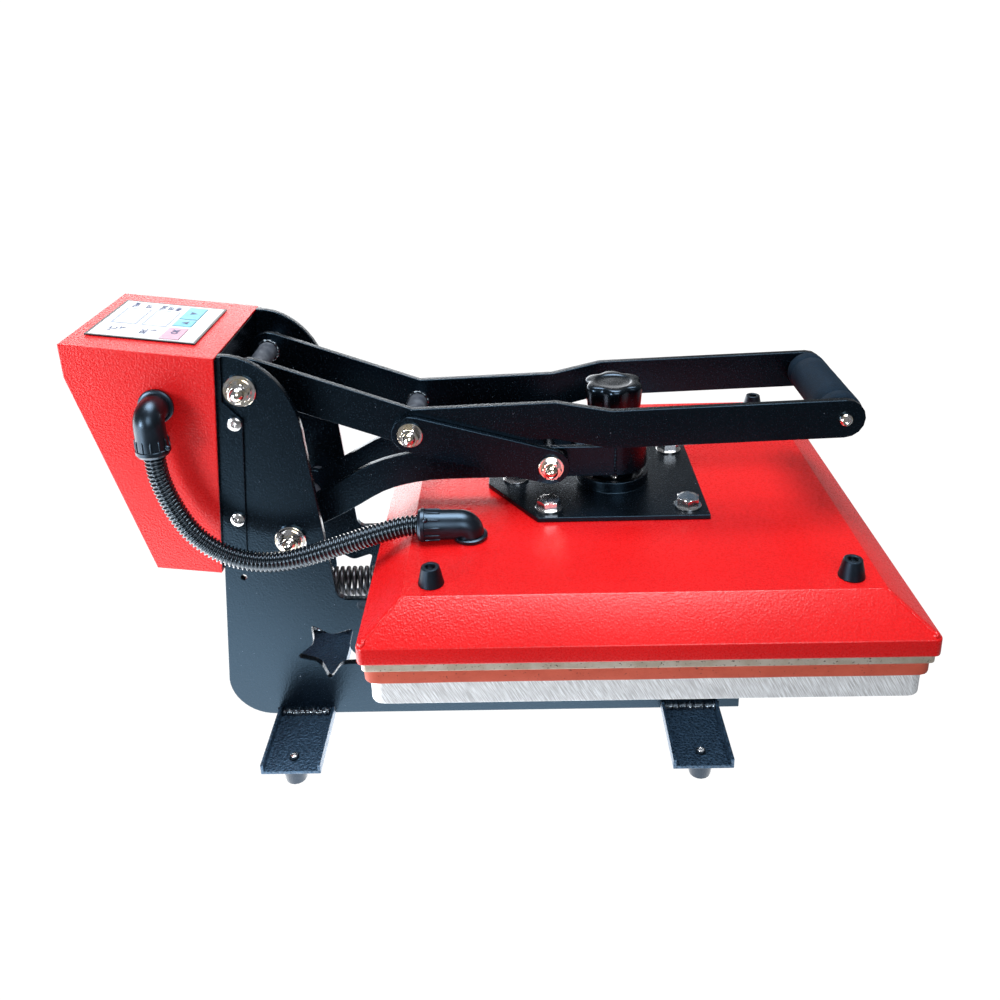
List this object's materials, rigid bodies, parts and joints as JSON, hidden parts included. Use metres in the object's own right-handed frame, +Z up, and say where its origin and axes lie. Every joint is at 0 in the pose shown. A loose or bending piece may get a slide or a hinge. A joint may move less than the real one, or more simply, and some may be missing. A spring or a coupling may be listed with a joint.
{
  "type": "flat heat press",
  "caption": "Clamshell flat heat press: square heated head with a toggle handle, pressure knob, silicone-padded lower platen, sheet-metal control box and ribbed hose.",
  "frame": {"origin": "centre of the overall box on the surface that the feet stand on", "axes": "+X forward to the hand grip, +Y to the right of a user who stands at the grip and looks back at the machine's rear, +Z up"},
  "size_m": [0.617, 0.393, 0.3619],
  "materials": {
    "red_powder_coat": "leather-grained powder coat, satin",
    "black_powder_coat": "fine-textured powder coat, satin",
    "milled_aluminium": "machined edges, brushed",
    "silicone_pad": "closed-cell silicone, matt",
    "chrome_fasteners": "polished",
    "zinc_steel": "zinc plated",
    "grey_tube": "satin grey",
    "spring_steel": "black oxide",
    "black_plastic": "moulded, satin gloss",
    "black_rubber": "matt",
    "grip_foam": "soft foam, matt",
    "panel_white": "printed film",
    "display_green_board": "circuit board with two display modules",
    "key_blue": "satin",
    "key_pink": "satin"
  },
  "bodies": {
    "root": {"rear_foot_rail": "black_powder_coat", "front_foot_rail": "black_powder_coat", "rear_left_foot": "black_rubber", "rear_right_foot": "black_rubber", "front_left_foot": "black_rubber", "front_right_foot": "black_rubber", "left_side_plate": "black_powder_coat", "right_side_plate": "black_powder_coat", "rear_cross_bar": "black_powder_coat", "front_cross_bar": "black_powder_coat", "lower_platen": "milled_aluminium", "silicone_pad": "silicone_pad", "handle_pivot_bolt": "chrome_fasteners", "handle_pivot_nut": "chrome_fasteners", "arm_pivot_bolt": "chrome_fasteners", "arm_pivot_nut": "chrome_fasteners", "control_box": "red_powder_coat", "box_bracket": "black_powder_coat", "display_panel": "panel_white", "display_board": "display_green_board", "solid_state_relay": "black_plastic", "power_switch_bezel": "black_plastic", "mains_inlet": "black_plastic", "box_elbow": "black_plastic", "conduit_hose": "black_plastic", "spring_anchor_pin": "zinc_steel", "counter_spring": "spring_steel"},
    "handle": {"left_handle_bar": "black_powder_coat", "right_handle_bar": "black_powder_coat", "handle_pivot_tube": "grey_tube", "link_pin": "grey_tube", "grip_tube": "zinc_steel", "foam_grip": "grip_foam", "grip_rod": "chrome_fasteners"},
    "link": {"left_link": "black_powder_coat", "right_link": "black_powder_coat", "left_link_stud": "chrome_fasteners", "right_link_stud": "chrome_fasteners"},
    "arm": {"left_swing_arm": "black_powder_coat", "right_swing_arm": "black_powder_coat", "arm_pivot_tube": "grey_tube", "arm_nose": "black_powder_coat", "link_bolt": "chrome_fasteners", "link_bolt_nut": "chrome_fasteners", "spring_tail_pin": "zinc_steel"},
    "head": {"mount_plate": "black_powder_coat", "top_cover": "red_powder_coat", "heater_platen": "milled_aluminium", "heating_element": "zinc_steel", "rear_left_bumper": "black_rubber", "rear_right_bumper": "black_rubber", "front_left_bumper": "black_rubber", "front_right_bumper": "black_rubber", "cover_elbow": "black_plastic"},
    "knob": {"pressure_screw": "zinc_steel", "pressure_knob": "black_plastic"},
    "up_key": {"up_key": "key_blue"},
    "down_key": {"down_key": "key_blue"},
    "ok_key": {"ok_key": "key_pink"},
    "rocker": {"power_rocker": "black_plastic"}
  },
  "joints": [
    {"name": "arm_lift", "type": "hinge", "parent": "root", "child": "arm", "pos_m": [-0.155, 0, 0.1909], "axis": [0, -1, 0], "range_deg": [0, 50], "deforming": ["counter_spring", "conduit_hose"]},
    {"name": "handle_swing", "type": "hinge", "parent": "root", "child": "handle", "pos_m": [-0.18, 0, 0.3199], "axis": [0, -1, 0], "range_deg": [0, 99.6]},
    {"name": "link_swing", "type": "hinge", "parent": "arm", "child": "link", "pos_m": [0.054, 0, 0.2399], "axis": [0, 1, 0], "range_deg": [0, 69.89]},
    {"name": "head_slide", "type": "slide", "parent": "arm", "child": "head", "axis": [0, 0, 1], "range_m": [0, 0.003]},
    {"name": "knob_turn", "type": "hinge", "parent": "head", "child": "knob", "pos_m": [0.1065, 0, 0.25], "axis": [0, 0, 1], "range_deg": [0, 541]},
    {"name": "up_key_press", "type": "slide", "parent": "root", "child": "up_key", "axis": [-0.1239, 0, -0.9923], "range_m": [0, 0.0006], "stiffness_N_per_m": 600},
    {"name": "down_key_press", "type": "slide", "parent": "root", "child": "down_key", "axis": [-0.1239, 0, -0.9923], "range_m": [0, 0.0006], "stiffness_N_per_m": 600},
    {"name": "ok_key_press", "type": "slide", "parent": "root", "child": "ok_key", "axis": [-0.1239, 0, -0.9923], "range_m": [0, 0.0006], "stiffness_N_per_m": 600},
    {"name": "rocker_tilt", "type": "hinge", "parent": "root", "child": "rocker", "pos_m": [-0.261, 0.07, 0.2999], "axis": [0, 0, 1], "range_deg": [-16, 0]}
  ],
  "couplings": [
    {"joint": "handle_swing", "follows": "arm_lift", "ratio": 1.991},
    {"joint": "link_swing", "follows": "arm_lift", "ratio": 1.3967},
    {"joint": "knob_turn", "follows": "head_slide", "rad_per_m": 3141.6}
  ]
}
